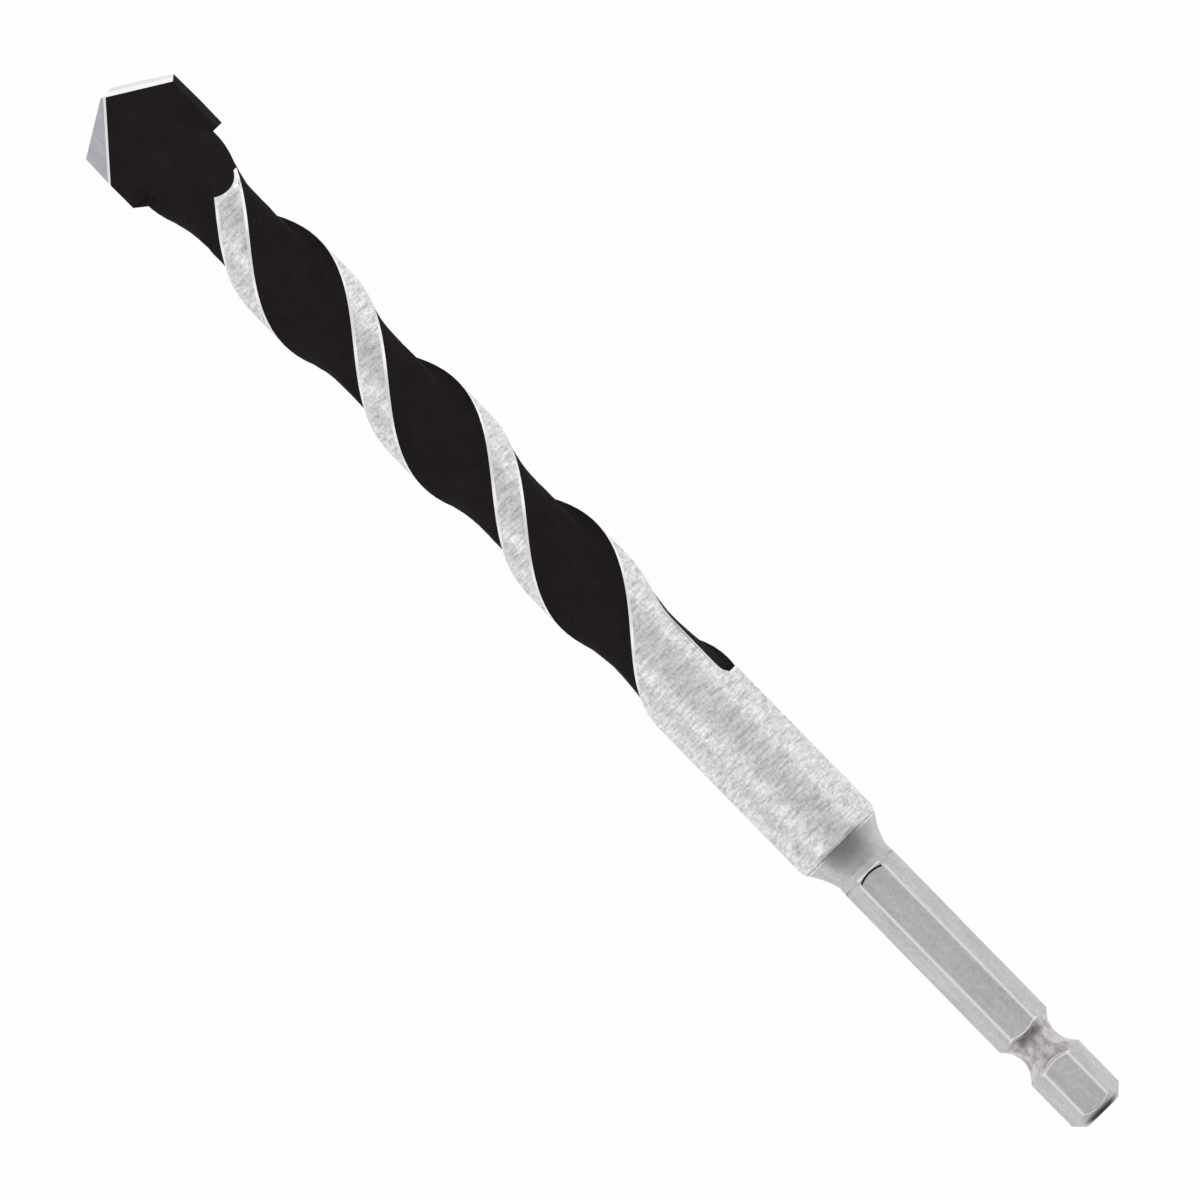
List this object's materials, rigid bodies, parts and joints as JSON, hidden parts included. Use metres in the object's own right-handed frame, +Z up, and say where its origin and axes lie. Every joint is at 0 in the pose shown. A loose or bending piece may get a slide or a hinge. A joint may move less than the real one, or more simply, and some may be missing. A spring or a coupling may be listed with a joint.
{
  "type": "hammer drill bit",
  "caption": "Hammer drill bit for masonry with a hexagonal quick-change shank, twin spiral flutes and a brazed carbide cutting plate.",
  "frame": {"origin": "centre of the shank's flat end face", "axes": "+X along the bit's axis from the shank's end to the point; +Z up, square to one flat of the hexagon and to the broad sides of the carbide plate, as the bit lies"},
  "size_m": [0.1524, 0.0132, 0.0106],
  "materials": {
    "body_steel": "ground bright on the lands and the plain body, black oxide in the flutes and on the head, satin on the shank",
    "carbide": "ground sintered carbide, pale on its facets and blackened on its broad sides",
    "braze": "blackened with the head"
  },
  "bodies": {
    "root": {"steel_body": "body_steel", "carbide_plate": "carbide", "braze_layer": "braze"}
  },
  "joints": []
}
